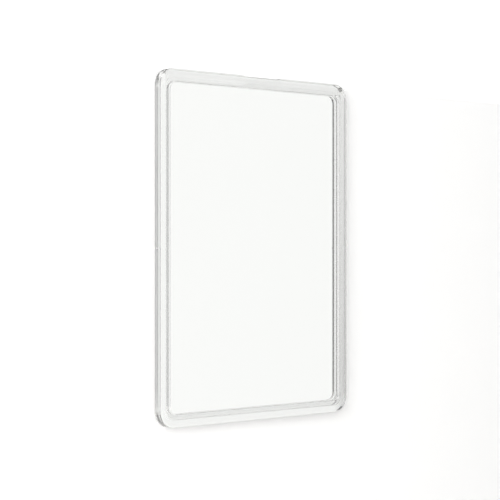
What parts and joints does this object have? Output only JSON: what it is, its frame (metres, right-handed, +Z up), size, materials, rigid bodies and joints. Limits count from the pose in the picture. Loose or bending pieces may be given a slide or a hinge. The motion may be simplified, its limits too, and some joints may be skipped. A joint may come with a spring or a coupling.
{
  "type": "showcard display frame",
  "caption": "Clear upright display frame with rounded corners: a hollow moulding with a slotted top rail and two clear cover sheets, with no insert between them.",
  "frame": {"origin": "the middle of the frame's outer box, halfway between the two cover sheets", "axes": "+Z up along the long side, towards the slotted top rail; -Y out of the front face; +X to the right, seen from the front"},
  "size_m": [0.224, 0.009, 0.311],
  "materials": {
    "clear_polystyrene": "clear, moulded, polished",
    "clear_pvc_film": "clear, anti-glare"
  },
  "bodies": {
    "frame": {"frame_moulding": "clear_polystyrene"},
    "front_cover": {"front_cover_sheet": "clear_pvc_film"},
    "back_cover": {"back_cover_sheet": "clear_pvc_film"}
  },
  "joints": [
    {"name": "front_cover_slide", "type": "slide", "parent": "frame", "child": "front_cover", "axis": [0, 0, 1], "range_m": [0, 0.31]},
    {"name": "back_cover_slide", "type": "slide", "parent": "frame", "child": "back_cover", "axis": [0, 0, 1], "range_m": [0, 0.31]}
  ]
}
